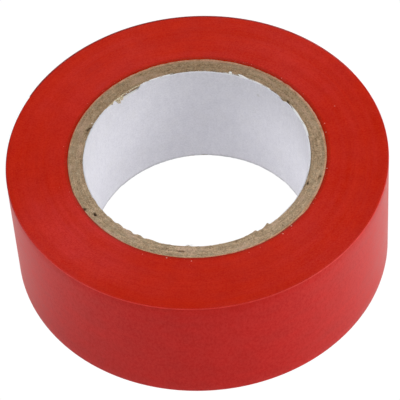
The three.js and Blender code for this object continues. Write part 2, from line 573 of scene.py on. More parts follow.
def liner_material():
    """White lining paper, slightly blue: cloudy, with faint upright drag marks."""
    mat = Nodes("core_liner_paper_white")
    arc = mat.arc(at_radius=15.85)
    cloud = mat.noise(size=1.5, detail=4.0, rough=0.6)
    streak_path = mat.join(arc, mat.mul(mat.height, 0.22), 1.0)
    streak = mat.noise(size=0.55, detail=3.0, rough=0.6, vector=streak_path)
    fibre_path = mat.join(mat.mul(arc, 0.55), mat.height, mat.radius)
    fibre = mat.noise(size=0.22, detail=3.0, rough=0.65, vector=fibre_path)
    stops = (
        (0.36, (0.803, 0.797, 0.845)),
        (0.50, (0.841, 0.835, 0.880)),
        (0.64, (0.876, 0.870, 0.907)),
    )
    col = mat.ramp(mat.weigh((cloud, 0.38), (fibre, 0.24), (streak, 0.38)), stops)
    warm = mat.remap(mat.noise(size=2.6, offset=0.9), src=(0.52, 0.70), to=(0.0, 0.4))
    col = mat.mix(warm, col, (0.851, 0.844, 0.868))
    smudge = mat.noise(size=2.2, detail=3.0, rough=0.6, offset=2.3)
    smudge = mat.remap(smudge, src=(0.64, 0.74), to=(0.0, 0.10))
    col = mat.mix(smudge, col, (0.60, 0.60, 0.62))
    # the grey rub mark
    from_mark = mat.vec("SUBTRACT", mat.coords, tuple(v * MM for v in MARK))
    mark = mat.remap(mat.vec("LENGTH", from_mark), src=(0.12 * MM, 0.34 * MM), to=(0.42, 0.0))
    col = mat.mix(mark, col, (0.56, 0.55, 0.50))
    # painted shade: darker towards the foot, a contact shadow along the bottom edge
    foot = mat.add(mat.height, mat.mul(mat.noise(size=0.5, offset=3.3), 0.3))
    foot = mat.remap(foot, src=(0.52, 1.02), to=(0.62, 0.0))
    col = mat.mix(foot, col, (0.42, 0.41, 0.42))
    speck = mat.speckle(size=0.26, offset=6.6)
    col = mat.tint(col, speck, low=(0.945, 0.945, 0.945), high=(1.055, 1.055, 1.055))
    # fitted: a touch paler towards +X, in place of light the lamps don't give
    right = mat.across("COSINE")
    col = mat.tint(col, right, low=(0.985, 0.985, 0.985), high=(1.068, 1.068, 1.068))
    mat.set("Base Color", col)
    mat.set("Roughness", mat.remap(fibre, src=(0.3, 0.7), to=(0.68, 0.88)))
    mat.set("Specular IOR Level", 0.3)
    mat.bump(mat.weigh((fibre, 0.6), (cloud, 0.4)), depth=0.02, strength=0.55)
    return mat.data


def torn_material():
    """The brown back of torn lining paper, with white where the sheet split."""
    mat = Nodes("core_torn_paper")
    fibre = mat.noise(size=0.16, detail=3.0, rough=0.65)
    stops = ((0.38, (0.40, 0.28, 0.14)), (0.5, (0.66, 0.53, 0.33)), (0.60, (0.88, 0.82, 0.68)))
    mat.set("Base Color", mat.ramp(fibre, stops))
    mat.set("Roughness", 0.92)
    mat.set("Specular IOR Level", 0.2)
    mat.bump(fibre, depth=0.03, strength=0.7)
    return mat.data


def crumb_material(name, colour):
    mat = Nodes(name)
    fibre = mat.noise(size=0.10, rough=0.6)
    shade = mat.remap(fibre, src=(0.35, 0.65), to=(0.0, 0.30))
    mat.set("Base Color", mat.mix(shade, colour, tuple(channel * 0.78 for channel in colour)))
    mat.set("Roughness", 0.9)
    mat.set("Specular IOR Level", 0.25)
    mat.bump(fibre, depth=0.02, strength=0.5)
    return mat.data


def pvc_rim_material():
    """The tape's rolled edge, painted a little paler as a highlight along the rim."""
    mat = Nodes("pvc_tape_rim")
    rim_highlight_tone = mat.noise(size=0.9, detail=3.0, rough=0.6)
    col = mat.ramp(rim_highlight_tone, ((0.35, (0.72, 0.0290, 0.0210)), (0.65, (0.84, 0.0560, 0.0430))))
    # painted shade, fitted: the rim darkens to a thin dark line along the rear
    rear_rim_shade = mat.remap(mat.toward(128.0), src=(-0.1, 0.9))
    col = mat.mix(mat.mul(rear_rim_shade, 0.85), col, (0.26, 0.0060, 0.0030))
    mat.set("Base Color", col)
    mat.set("Roughness", mat.remap(rim_highlight_tone, src=(0.35, 0.65), to=(0.30, 0.42)))
    mat.set("Specular IOR Level", 0.35)
    mat.bump(mat.noise(size=0.12, rough=0.6), depth=0.006, strength=0.4)
    return mat.data


MAT_EDGE = pvc_edge_material()
MAT_FACE = pvc_face_material()
MAT_GLUE = adhesive_material()
MAT_BOARD = board_material("core_chipboard", light=1.0)
MAT_BOARD_PALE = board_material("core_chipboard_pale", light=1.08)
MAT_KRAFT = kraft_material()
MAT_LINER = liner_material()
MAT_TORN = torn_material()
MAT_CRUMB = crumb_material("paper_crumb_white", (0.96, 0.95, 0.94))
MAT_DUST = crumb_material("paper_dust_pale", (0.82, 0.50, 0.40))
MAT_RIM = pvc_rim_material()


# ---------------------------------------------------------------- the wound turns
WOUND_SEGS = 240
TURNS = 71
BAND_TURNS = 9  # turns that share one slow step in height


def eased_lookup(values, position):
    """Values at whole positions, eased in between."""
    whole = np.floor(position).astype(int)
    part = smoothstep(position - whole)
    return values[whole] * (1 - part) + values[whole + 1] * part


def wound_turns():
    segs = WOUND_SEGS
    first_r = CORE_R + 0.02
    pitch = (WOUND_R - first_r) / TURNS
    # two rows a turn; the spiral's last half turn meets the outer circle
    rows = 2 * TURNS - 1
    step = np.arange(segs)
    theta = step * TAU / segs
    rng = np.random.default_rng(11)
    turn_depth = rng.uniform(0, 1, TURNS + 4)
    band_depth = rng.uniform(0, 1, TURNS // BAND_TURNS + 4)
    verts, faces = [], []

    def add(points):
        start = len(verts)
        verts.extend(points.tolist())
        return list(range(start, len(verts)))

    def side(top):
        # where the tube draws in, the first turns are pressed over its corner
        tuck = np.minimum(kraft_lip(theta, 1) + 0.03, 0.0) if top else 0.0 * theta
        low = 1 + 0.75 * tuck / 0.09

        def level(depth):
            return HEIGHT - depth if top else depth

        def row_depth(j, radius):
            """How far the face lies below the cut plane at half-turn row j."""
            turn = j / 2.0 + step / segs
            depth = 0.0075 if j % 2 == 0 else 0.0  # the groove
            depth = depth + 0.006 * eased_lookup(turn_depth, turn)
            depth = depth + 0.012 * eased_lookup(band_depth, turn / BAND_TURNS)
            points = ring_points(radius, theta, 4.0 if top else -4.0)
            depth = depth + 0.006 * (0.5 + 0.5 * noise3(points, size=3.5, seed=5))
            # the innermost turns sit a little low against the core, and the outermost are
            # eased by handling
            inner = 0.085 * low * smoothstep((first_r + 0.20 - radius) / 0.20)
            return depth + inner + 0.012 * smoothstep((radius - WOUND_R + 0.5) / 0.5)

        turns = []
        for j in range(rows):
            radius = np.minimum(first_r + pitch * (j / 2.0 + step / segs), WOUND_R)
            z = level(row_depth(j, radius))
            radius = radius + tuck * (1 - smoothstep((radius - first_r) / 0.45))
            turns.append(add(ring_points(radius, theta, z)))
        core_z = level(0.10)
        verts[turns[0][0]][2] = core_z
        core_ring = ring_points(first_r + tuck, theta, core_z - 0.8 * tuck)
        core = turns[0][:1] + add(core_ring[1:])
        rim = add(ring_points(WOUND_R, theta, level(0.02)))
        end_r = first_r + pitch * (TURNS - 0.5)
        end = add(np.array([[end_r, 0.0, level(0.012)]]))[0]

        def at(j, k):
            if k < segs:
                return turns[j][k]
            if j + 2 < rows:
                return turns[j + 2][0]
            return end if j + 2 == rows else rim[0]

        def face(*ids):
            faces.append(list(ids) if top else list(ids)[::-1])

        for j in range(rows - 1):
            for k in range(segs):
                face(at(j, k), at(j + 1, k), at(j + 1, k + 1), at(j, k + 1))
        # wedge between the core's circle and the first turn
        first = turns[0]
        face(core[0], first[1], core[1])
        for k in range(1, segs - 1):
            face(core[k], first[k], first[k + 1], core[k + 1])
        face(core[-1], first[-1], turns[2][0], turns[1][0], core[0])
        # wedge between the last turn and the outer circle
        last = turns[-1]
        face(last[0], end, rim[0], rim[1], last[1])
        for k in range(1, segs - 1):
            face(last[k], rim[k], rim[k + 1], last[k + 1])
        face(last[-1], rim[-1], rim[0])
        return core, rim

    core_top, rim_top = side(True)
    core_low, rim_low = side(False)
    for k in range(segs):
        m = (k + 1) % segs
        faces.append([rim_low[k], rim_low[m], rim_top[m], rim_top[k]])
        faces.append([core_low[m], core_low[k], core_top[k], core_top[m]])
    ob = make("tape_windings", verts, faces, [MAT_EDGE], smooth=False)
    ride_roll(ob, node="tape_wound_turns")


# ---------------------------------------------------------------- tape strips on the outside
# material slots of a strip
EDGE, INNER, FACE, RIM = range(4)


def rim_wave(theta):
    """Height error of the tape's edge, the same for the last turn and the free strip."""
    return 0.016 * fbm(ring_points(26.6, theta, 0.0), size=5.0, seed=21)


def face_wave(theta, z):
    """Slow in-and-out wave of the outer face."""
    return 0.006 * fbm(ring_points(26.6, theta, z), size=6.0, seed=31, octaves=2) - 0.006


def cut_teeth(z):
    """How far the free end falls short of its tips, where a toothed blade cut it."""
    tooth = (z / 1.15) % 1.0
    return 0.26 * np.abs(2 * tooth - 1) + 0.03


def cut_teeth_into(grid):
    """Pulls the last two columns back to the teeth."""
    for back, share in ((1, 1.0), (2, 0.35)):
        x, y, z = grid[:, -back].T
        theta = np.arctan2(y, x) - cut_teeth(z) * share / 26.9
        radius = np.hypot(x, y)
        grid[:, -back] = np.stack([radius * np.cos(theta), radius * np.sin(theta), z], -1)


def end_ladder(grid, inner_rows):
    """Triangles that close the toothed end between its inner and outer edges."""
    rows, cols = grid.shape[:2]
    inner = list(range(inner_rows))
    outer = list(range(rows - 1, inner_rows - 1, -1))
    faces = []
    i = j = 0
    while i < len(inner) - 1 or j < len(outer) - 1:
        z_inner = grid[inner[i + 1], -1, 2] if i < len(inner) - 1 else 1e9
        z_outer = grid[outer[j + 1], -1, 2] if j < len(outer) - 1 else 1e9
        if z_inner <= z_outer:
            corners = (outer[j], inner[i + 1], inner[i])
            i += 1
        else:
            corners = (outer[j], outer[j + 1], inner[i])
            j += 1
        faces.append([row * cols + cols - 1 for row in corners])
    return faces


def tape_strip(name, deg, r_out, r_in, z_rows, fillet, inner_mat, groove=None, toothed=False):
    """A length of tape standing on edge, with angles deg and radii r_out, r_in of its columns.

    groove: radii of a groove along both edges, or None.
    """
    theta = np.radians(deg)
    cols = len(deg)
    wave = rim_wave(theta)
    rows, kinds = [], []

    def row(radius, z, kind):
        rows.append(ring_points(radius, theta, z))
        kinds.append(kind)

    top = HEIGHT - 0.004 + np.minimum(wave, 0.0)
    low = 0.004 + np.maximum(wave, 0.0)
    bend = np.minimum(fillet, (r_out - r_in) * 0.6)

    def corner(z_edge, z_centre, start_deg, edge_k):
        """A rounded corner; its edge_k end lies on the edge, its other end on the face."""
        for k in range(5):
            turn = math.radians(start_deg - 90 * k / 4)
            shift = 0 if k == edge_k else face_wave(theta, z_edge)
            radius = r_out - bend + bend * math.cos(turn) + shift
            row(radius, z_centre + bend * math.sin(turn), FACE if k == 4 - edge_k else RIM)

    # inner wall, from the foot up
    inner_rows = z_rows if toothed else 4
    for part in np.linspace(0, 1, inner_rows):
        row(r_in, low + 0.02 + (top - low - 0.04) * part, INNER)
    # top edge
    if groove is not None:
        groove = np.clip(groove, r_in + 0.012, r_out - 0.03)
        row(groove - 0.009, top - 0.006, EDGE)
        row(groove, top - 0.022, EDGE)
        row(groove + 0.009, top - 0.006, RIM)
    else:
        row(r_in + 0.015, top - 0.004, RIM)
    corner(top, top - bend, start_deg=90, edge_k=0)
    # outer wall, from the top down
    for part in np.linspace(0, 1, z_rows)[1:-1]:
        z = top - bend + (low + bend - (top - bend)) * part
        row(r_out + face_wave(theta, z), z, FACE)
    corner(low, low + bend, start_deg=0, edge_k=4)
    # bottom edge
    if groove is not None:
        row(groove + 0.009, low + 0.006, EDGE)
        row(groove, low + 0.022, EDGE)
        row(groove - 0.009, low + 0.006, EDGE)
    else:
        row(r_in + 0.015, low + 0.004, EDGE)

    mat_index = []
    for here, after in zip(kinds, kinds[1:] + kinds[:1]):
        if RIM in (here, after):
            kind = RIM
        else:
            kind = here if here == after else EDGE
        mat_index += [kind] * (cols - 1)
    grid = np.stack(rows, 0)
    faces = strip_faces(len(rows), cols)
    mat_index += [EDGE, EDGE]
    if toothed:
        cut_teeth_into(grid)
        ladder = end_ladder(grid, inner_rows)
        faces[-1:] = ladder
        # painted highlight: the toothed cut end takes the rim's paler colour, to read as a thin pale
        # line
        mat_index[-1:] = [RIM] * len(ladder)
    mats = [MAT_EDGE, inner_mat, MAT_FACE, MAT_RIM]
    return make_closed(name, grid, faces, mats, sharp_deg=38, mat_index=mat_index)


def last_turn():
    cols = 721
    deg = PEEL + np.linspace(0, 360, cols)
    r_out = spiral(FREE_END + 360 - deg)
    r_in = np.full(cols, WOUND_R + 0.005)
    ob = tape_strip(
        "tape_last_turn", deg, r_out, r_in,
        z_rows=13, fillet=0.10, inner_mat=MAT_FACE, groove=r_out - TAPE,
    )
    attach(ob, "outer_turn")
    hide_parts("tape_outer_turn")


def free_strip():
    bounds = [PEEL] + [PEEL + LINK * (k + 0.5) for k in range(LINKS)] + [FREE_END]
    for k in range(LINKS + 1):
        first, last = bounds[k], bounds[k + 1]
        is_end = k == LINKS
        steps = max(8, int(round((last - first) / 0.5)))
        deg = np.linspace(first, last, steps + 1)
        r_out = spiral(FREE_END - deg)
        r_in = r_out - TAPE + 0.004
        # the cut stretched the very end a little thinner
        thin = 0.052 * smoothstep((deg - (FREE_END - 7.0)) / 7.0)
        ob = tape_strip(
            "tape_free_%02d" % (k + 1), deg, r_out - thin, r_in,
            z_rows=100 if is_end else 13, fillet=0.065, inner_mat=MAT_GLUE, toothed=is_end,
        )
        if is_end:
            first = PEEL + LINK * k
            last = first + 8.0
        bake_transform(ob)
        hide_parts("tape_end_tab" if is_end else "tape_end_strip_%d" % (k + 1))


# ---------------------------------------------------------------- the core's cut face
# Nicks: radius, angle (degrees), half size across, half size along, depth
NICKS = (
    (16.40, 157.4, 0.17, 0.24, 0.95),
    (16.20, 156.0, 0.24, 0.14, 0.50),
    (16.02, 155.4, 0.16, 0.12, 0.45),
    (17.21, -147.8, 0.17, 0.30, 0.75),
    (17.98, -153.3, 0.20, 0.22, 0.70),
    (18.16, -153.6, 0.14, 0.26, 0.60),
    (16.39, -23.1, 0.16, 0.27, 0.42),
    (16.14, -24.6, 0.14, 0.30, 0.22),
    (17.70, -17.4, 0.26, 0.13, 0.40),
    (17.52, -18.6, 0.12, 0.20, 0.22),
    (16.22, 33.3, 0.15, 0.32, 0.40),
    (17.05, -100.6, 0.13, 0.52, 1.00),
    (16.80, -107.0, 0.08, 0.20, 0.20),
)
NICKS = [(radius, math.radians(deg), *rest) for radius, deg, *rest in NICKS]


def scattered_pits(count):
    """Small pits, as in the table of nicks but with angles in radians."""
    rng = np.random.default_rng(5)
    radius = rng.uniform(16.1, 18.0, count)
    theta = rng.uniform(-math.pi, math.pi, count)
    across = rng.uniform(0.05, 0.11, count)
    stretch = rng.uniform(1.0, 2.6, count)
    depth = rng.uniform(0.05, 0.17, count)
    return list(zip(radius, theta, across, across * stretch, depth))


PITS = scattered_pits(150)


def hollow_depth(radius, theta, hollows, reach, soft, wobble=1.0):
    """Depth of the deepest hollow; it fades out over soft, up to reach half sizes away."""
    total = np.zeros(np.broadcast(radius, theta).shape)
    for at_r, at_theta, across, along, depth in hollows:
        u = (radius - at_r) / across
        v = wrap(theta - at_theta) * at_r / along
        away = np.sqrt(u * u + v * v) * wobble
        total = np.maximum(total, depth * smoothstep((reach - away) / soft))
    return total


def nick_depth(radius, theta):
    wobble = 1 + 0.35 * noise3(ring_points(radius, theta, 0.0), size=0.22, seed=77)
    return hollow_depth(radius, theta, NICKS, reach=1.15, soft=0.6, wobble=wobble)


def pit_depth(radius, theta):
    return hollow_depth(radius, theta, PITS, reach=1.1, soft=0.7)


def cut_face(radius, theta, side):
    """Depth of the cut face below the plane of the cut. side: 1 top, -1 bottom."""
    points = ring_points(radius, theta, 9.0 * side)
    rough = 0.034 * (fbm(points, size=0.42, seed=41, fall=0.6) + 0.35)
    slow = 0.022 * (fbm(points, size=2.4, seed=43, octaves=2) + 0.6)
    # fibres pulled along the knife's path
    path = np.stack([radius, theta * 5.5, np.full_like(theta * radius, 3.0 * side)], -1)
    drag = 0.020 * (noise3(path, size=0.16, seed=47) + 0.4)
    depth = np.maximum(rough, -0.008) + slow + np.maximum(drag, 0)
    # both corners of the wall are eased
    inner_ease = 0.07 * smoothstep((16.16 - radius) / 0.28)
    depth = depth + inner_ease + 0.03 * smoothstep((radius - 18.08) / 0.12)
    if side > 0:
        depth = depth + nick_depth(radius, theta) + pit_depth(radius, theta)
    else:
        depth = depth + pit_depth(radius, theta + 1.3) + FOOT
    return np.maximum(depth, 0.002)


def cut_depth_at(radius, deg):
    """Depth of the top cut face at one place."""
    return float(cut_face(np.array([radius]), np.array([math.radians(deg)]), 1)[0])


# Where the knife skipped along the front left of the bore it left scallops (degrees)
SKIPS = (-144.0, -138.1, -130.9, -125.4, -119.5, -112.5)
# Saw teeth, where the knife climbed slowly inwards and snapped back: from, to (degrees), reach
SAW_TEETH = ((-70.0, -62.2, 0.44), (-59.8, -54.9, 0.56))
# Bumps of the lips: angle, half width (degrees), reach
BORE_BUMPS = (
    (120, 4.0, 0.06), (129, 4.5, 0.12), (137.0, 2.6, 0.26), (140.6, 1.0, 0.12),
    (36.3, 1.9, 0.26), (39.5, 1.5, 0.10), (-97.4, 1.1, 0.16), (-88, 3.0, -0.06),
    (105.5, 1.6, 0.20), (102.6, 0.9, 0.16), (75, 4.0, 0.05), (90, 2.0, 0.08),
    (-158.6, 1.2, -0.10), (-155.5, 1.6, 0.10),
)
KRAFT_BUMPS = (
    (-164.5, 4.5, 0.06), (-37.5, 2.6, 0.20), (-50, 22.0, 0.06),
    (-153.3, 1.2, -0.04), (38, 14.0, 0.03), (175, 22.0, 0.02),
)


def add_bumps(reach, deg, bumps):
    for at_deg, width, height in bumps:
        reach = reach + height * np.exp(-((deg - at_deg) / width) ** 2)
    return reach


def bore_lip(theta, side):
    """How far the first ply's corner reaches over the bore (negative: it is worn back)."""
    points = ring_points(16.0, theta, 5.0 * side)
    reach = 0.055 * fbm(points, size=0.9, seed=51, fall=0.65)
    reach = reach + 0.035 * fbm(points, size=0.33, seed=53, octaves=2) - 0.02
    if side < 0:
        return reach
    deg = np.degrees(wrap(theta))
    reach = reach - 0.03 - 0.065 * np.cos(theta - math.radians(TUBE_LEAN))
    # worn back along the front, but not where the knife skipped
    skipped = smoothstep((deg + 144) / 2) * smoothstep((-113 - deg) / 6)
    worn = smoothstep((deg + 150) / 30) * smoothstep((-14 - deg) / 20)
    reach = reach - 0.11 * worn * (1 - skipped)
    for first, last in zip(SKIPS[:-1], SKIPS[1:]):
        part = (deg - first) / (last - first)
        saw = -0.20 + 0.36 * smoothstep(part / 0.28) - 0.30 * smoothstep((part - 0.5) / 0.5)
        size = 1.0 if -139 < first < -124 else 0.55
        reach = np.where((part >= 0) & (part < 1), saw * size + 0.3 * reach, reach)
    for first, last, height in SAW_TEETH:
        part = (deg - first) / (last - first)
        rise = height * np.clip(part, 0, 1) ** 1.3 * (1 - smoothstep((part - 1.0) / 0.03))
        reach = reach + np.where((part > 0) & (part < 1.06), rise, 0.0)
    return add_bumps(reach, deg, BORE_BUMPS)


def kraft_lip(theta, side):
    """How far the kraft ply's corner is turned over the tape."""
    points = ring_points(18.2, theta, 7.0 * side)
    reach = 0.035 * fbm(points, size=1.3, seed=55, fall=0.6) - 0.015
    if side > 0:
        # the tube is not quite round: it spreads at the rear right and draws in at the front left
        reach = reach + 0.025 + 0.165 * np.cos(theta - math.radians(TUBE_LEAN))
        reach = reach + 0.035 * np.cos(2 * (theta - math.radians(68)))
        reach = add_bumps(reach, np.degrees(wrap(theta)), KRAFT_BUMPS)
    return np.clip(reach, -0.12, 0.34)


# Radii between the plies: bore, outside of the liner, of the five boards, of the kraft
PLY_RADII = (BORE_R, LINER_R + 0.01, 16.41, 16.81, 17.21, 17.61, 17.98, CORE_R)
KRAFT_PLY = 6


def ply_boundary(k, theta):
    """Radius of interface k, with the waviness of those inside the wall."""
    points = ring_points(16.0 + k, theta, 2.0)
    wave = 0 * theta
    if 1 < k < KRAFT_PLY:
        wave = 0.028 * fbm(points, size=2.2, seed=60 + k, fall=0.6)
    elif k == KRAFT_PLY:
        wave = 0.012 * fbm(points, size=1.5, seed=60 + k, octaves=2)
    return PLY_RADII[k] + wave


def board_ply(name, k, node, mat, cells=4):
    """A closed ring between interfaces k and k+1, with fine cut faces at both ends."""
    segs = 1080
    gap = 0.004
    theta = np.arange(segs) * TAU / segs
    walls = [0.25, 0.9, 2.0, HEIGHT / 2, HEIGHT - 2.0, HEIGHT - 0.9, HEIGHT - 0.25]
    r_in = ply_boundary(k, theta) + gap
    r_out = ply_boundary(k + 1, theta) - gap

    def end_rows(side):
        inner_lip = bore_lip(theta, side) if k == 1 else 0.0
        outer_lip = kraft_lip(theta, side) if k == KRAFT_PLY else 0.0
        out = []
        for cell in range(cells + 1):
            part = cell / cells
            shift = -inner_lip * (1 - part) ** 1.5 + outer_lip * part
            radius = r_in + (r_out - r_in) * part + shift
            depth = cut_face(radius, theta, side)
            if cell in (0, cells):
                depth = depth + 0.012
            if cell == 0 and k == 1:
                # the lip hangs as it reaches out, and shows its torn thickness
                depth = depth + 0.25 * np.maximum(inner_lip, 0)
                out.append((radius + 0.012, depth + 0.05 + 0.25 * np.abs(inner_lip)))
            out.append((radius, depth))
            if cell == cells and k == KRAFT_PLY:
                out.append((radius - 0.01, depth + 0.05))
        return [ring_points(r, theta, HEIGHT - d if side > 0 else d) for r, d in out]

    rows = [ring_points(r_in, theta, z) for z in walls]
    rows += end_rows(1)
    rows += [ring_points(r_in + (r_out - r_in), theta, z) for z in walls[::-1]]
    rows += end_rows(-1)[::-1]
    faces = grid_faces(len(rows), segs, closed_cols=True)
    ob = make_closed(name, rows, faces, [mat], sharp_deg=60)
    ride_roll(ob, node=node)


# ---------------------------------------------------------------- the liner
SEAM_TOP = math.radians(-41)  # where the seam meets the top edge
SEAM_SLANT = math.radians(55)  # from upright
SEAM_R = 15.93
SEAM_HALF_GAP = 0.035
LINER_COLS = 900
LINER_EASE_TOP = 2.0  # the edges' raggedness fades out over these heights
LINER_EASE_LOW = 0.9


def liner_edge_drop(theta, side):
    """How far the liner's edge falls short of the cut plane. side: 1 top, -1 bottom."""
    points = ring_points(15.9, theta, 3.0 * side)
    ragged = 0.06 * (fbm(points, size=0.5, seed=71, fall=0.7) + 0.45)
    ragged = ragged + 0.09 * smoothstep((noise3(points, size=1.3, seed=75) - 0.25) / 0.3)
    drop = np.maximum(ragged, 0.0) + np.maximum(bore_lip(theta, side), 0) * 0.55
    if side < 0:
        slow = noise3(points, size=6.0, seed=79)
        return drop + FOOT + 0.05 + 0.10 * smoothstep((slow + 0.2) / 0.8)
    deg = np.degrees(wrap(theta))
    # rubbed down along the front, torn off where the flaps hang
    drop = drop + 0.40 * smoothstep((deg + 164) / 10) * smoothstep((-14 - deg) / 8)
    torn = 0.50 * smoothstep((deg - 117.5) / 2.0) * smoothstep((134.5 - deg) / 1.6)
    drop = drop + torn * (1 + 0.2 * noise3(points, size=0.8, seed=77))
    drop = drop + 0.14 * smoothstep((deg - 33.5) / 1.0) * smoothstep((39.5 - deg) / 1.5)
    return drop + nick_depth(np.full_like(theta, 15.95), theta)


def liner():
    """Lining paper: one strip on a helix, so the sheet's two ends meet in a slanted butt seam."""
    lean = math.tan(SEAM_SLANT) / SEAM_R
    half = SEAM_HALF_GAP / math.cos(SEAM_SLANT) / SEAM_R
    along = np.linspace(0, 1, LINER_COLS + 1)
    ease_from = HEIGHT - LINER_EASE_TOP
    levels = np.concatenate([
        np.linspace(0, LINER_EASE_LOW, 5),
        np.linspace(LINER_EASE_LOW, ease_from, 28)[1:-1],
        np.linspace(ease_from, HEIGHT, 8),
    ])

    def angle(z):
        return SEAM_TOP + (z - HEIGHT) * lean + half + along * (TAU - 2 * half)

    def inner(z):
        theta = angle(z)
        points = ring_points(15.85, theta, z)
        wave = 0.010 + 0.012 * fbm(points, size=4.0, seed=81, octaves=2)
        # both ends of the sheet curl a little into the bore
        curl = 0.02 * smoothstep((0.5 - along * TAU * 15.9) / 0.5)
        curl = curl + 0.02 * smoothstep((0.5 - (1 - along) * TAU * 15.9) / 0.5)
        return theta, ply_boundary(0, theta) - wave - curl

    def outer(z):
        theta = angle(z)
        return theta, ply_boundary(1, theta) - 0.004

    def row_height(z, theta, edge_gap):
        if z == levels[-1]:
            return HEIGHT - liner_edge_drop(theta, 1) - edge_gap
        if z == levels[0]:
            return liner_edge_drop(theta, -1) + edge_gap
        if z > ease_from:
            below = HEIGHT - z
            return HEIGHT - liner_edge_drop(theta, 1) * (1 - below / LINER_EASE_TOP) - below
        if z < LINER_EASE_LOW:
            return liner_edge_drop(theta, -1) * (1 - z / LINER_EASE_LOW) + z
        return z

    def wall(surface, heights, edge_gap):
        out = []
        for z in heights:
            theta, radius = surface(z)
            out.append(ring_points(radius, theta, row_height(z, theta, edge_gap)))
        return out

    def edge_rows(side, parts):
        z = HEIGHT if side > 0 else 0.0
        theta, r_in = inner(z)
        _, r_out = outer(z)
        drop = liner_edge_drop(theta, side)
        out = []
        for part in parts:
            radius = r_in + (r_out - r_in) * part
            height = drop
            if side > 0:
                fuzz = noise3(ring_points(radius, theta, 1.0), size=0.15, seed=91)
                height = HEIGHT - drop + 0.012 * fuzz
            out.append(ring_points(radius, theta, height))
        return out

    rows = wall(inner, levels, edge_gap=0.01)
    rows += edge_rows(1, (0.33, 0.66))
    rows += wall(outer, levels[::-1], edge_gap=0.015)
    rows += edge_rows(-1, (0.66, 0.33))
    faces = strip_faces(len(rows), LINER_COLS + 1)
    ob = make_closed("core_liner", rows, faces, [MAT_LINER], sharp_deg=50)
    ride_roll(ob, node="core_liner_paper")


# ---------------------------------------------------------------- what the knife left
# Clusters of white fibre on the bore's lip: angle, spread (degrees), count, longest
FIBRE_CLUSTERS = (
    (69, 1.6, 9, 0.50), (62.5, 2.5, 9, 0.45), (54, 3, 7, 0.35), (46, 5, 6, 0.35),
    (25, 3, 7, 0.40), (12, 4, 9, 0.45), (104, 4, 8, 0.32), (113, 3, 7, 0.40),
    (141, 3, 8, 0.42), (150, 5, 6, 0.3), (165, 8, 7, 0.28), (-97, 1.6, 8, 0.40),
    (-60, 4, 6, 0.3), (-20, 8, 6, 0.25), (84, 6, 6, 0.25), (180, 8, 6, 0.25), (-160, 8, 5, 0.2),
)
# Crumbs of white paper caught on the lip: angle, radius, size, count, spread (degrees)
CRUMBS = (
    (69.3, 16.12, 0.105, 2, 0.4), (67.6, 15.92, 0.060, 3, 0.8), (64.0, 16.08, 0.085, 2, 0.5),
    (61.6, 15.96, 0.060, 4, 1.6), (53.0, 15.96, 0.055, 4, 1.8), (46.5, 15.99, 0.045, 2, 0.8),
    (40.8, 15.93, 0.045, 2, 1.0), (24.5, 15.98, 0.055, 4, 1.8), (13.0, 15.90, 0.055, 6, 3.0),
    (-97.4, 16.05, 0.055, 5, 1.0), (112.0, 15.88, 0.060, 3, 1.2), (104.5, 15.88, 0.055, 2, 0.8),
    (125.5, 15.82, 0.060, 4, 3.0), (148, 15.92, 0.040, 3, 4), (152.6, 16.30, 0.075, 2, 0.3),
    (-101, 17.35, 0.04, 2, 1.0),
)
# Burrs at the lip: angle, reach into the bore, lean along the lip (degrees), width
BURRS = ((-97.6, 0.16, 0.8, 0.12), (156.5, 0.16, 1.0, 0.10), (-131.0, 0.08, 0.4, 0.2))
# Larger specks of dust on the tape's side face: radius, angle, size
DUST = (
    (18.89, 13.1, 0.10), (18.62, 8.1, 0.09), (18.42, -12.6, 0.11), (21.42, 20.1, 0.07),
    (18.42, -48.4, 0.12), (18.63, -53.9, 0.12), (18.42, -106.0, 0.13), (18.69, -95.3, 0.10),
    (18.55, -33.0, 0.06), (18.9, -71.0, 0.05),
)


def hair(points, width, verts, faces, thick=0.45):
    """A thin tapering ribbon of fibre through the points, four-sided."""
    points = np.asarray(points, float)
    count = len(points)
    base = len(verts)
    for i in range(count):
        ahead = points[min(i + 1, count - 1)] - points[max(i - 1, 0)]
        ahead /= np.linalg.norm(ahead)
        side = np.cross(ahead, (0.3, 0.2, 1.0))
        side /= np.linalg.norm(side)
        up = np.cross(side, ahead)
        half = width * (1 - 0.75 * (i / (count - 1)) ** 1.5)
        for a, b in ((half, 0), (0, half * thick), (-half, 0), (0, -half * thick)):
            verts.append((points[i] + side * a + up * b).tolist())
    for i in range(base, base + 4 * (count - 1), 4):
        for k in range(4):
            m = (k + 1) % 4
            faces.append([i + k, i + m, i + 4 + m, i + 4 + k])
    faces.append([base + k for k in (3, 2, 1, 0)])
    faces.append([base + 4 * (count - 1) + k for k in range(4)])


def shard(verts, faces, centre, size, rng):
    """An irregular crumb of paper: a small crumpled blob."""
    sides, rings, flatten = 7, 3, 0.5
    base = len(verts)
    centre = np.asarray(centre, float)
    axis = rng.normal(0, 1, 3)
    axis /= np.linalg.norm(axis)
    wide = np.cross(axis, (0.2, 0.1, 1.0))
    wide /= np.linalg.norm(wide)
    thin = np.cross(axis, wide)
    for i in range(rings):
        lat = math.pi * (i + 1) / (rings + 1)
        for j in range(sides):
            lon = TAU * j / sides
            reach = size * rng.uniform(0.6, 1.15)
            point = (
                axis * math.cos(lat) * 1.5
                + wide * math.sin(lat) * math.cos(lon)
                + thin * math.sin(lat) * math.sin(lon) * 0.55
            ) * reach
            point[2] *= flatten
            verts.append((centre + point).tolist())
    pole = axis * size * np.array([1.5, 1.5, flatten])
    verts.append((centre + pole).tolist())
    verts.append((centre - pole).tolist())
    last_ring = base + (rings - 1) * sides
    north = base + rings * sides
    for j in range(sides):
        m = (j + 1) % sides
        faces.append([north, base + j, base + m])
        for low in range(base, last_ring, sides):
            faces.append([low + j, low + sides + j, low + sides + m, low + m])
        faces.append([last_ring + m, last_ring + j, north + 1])


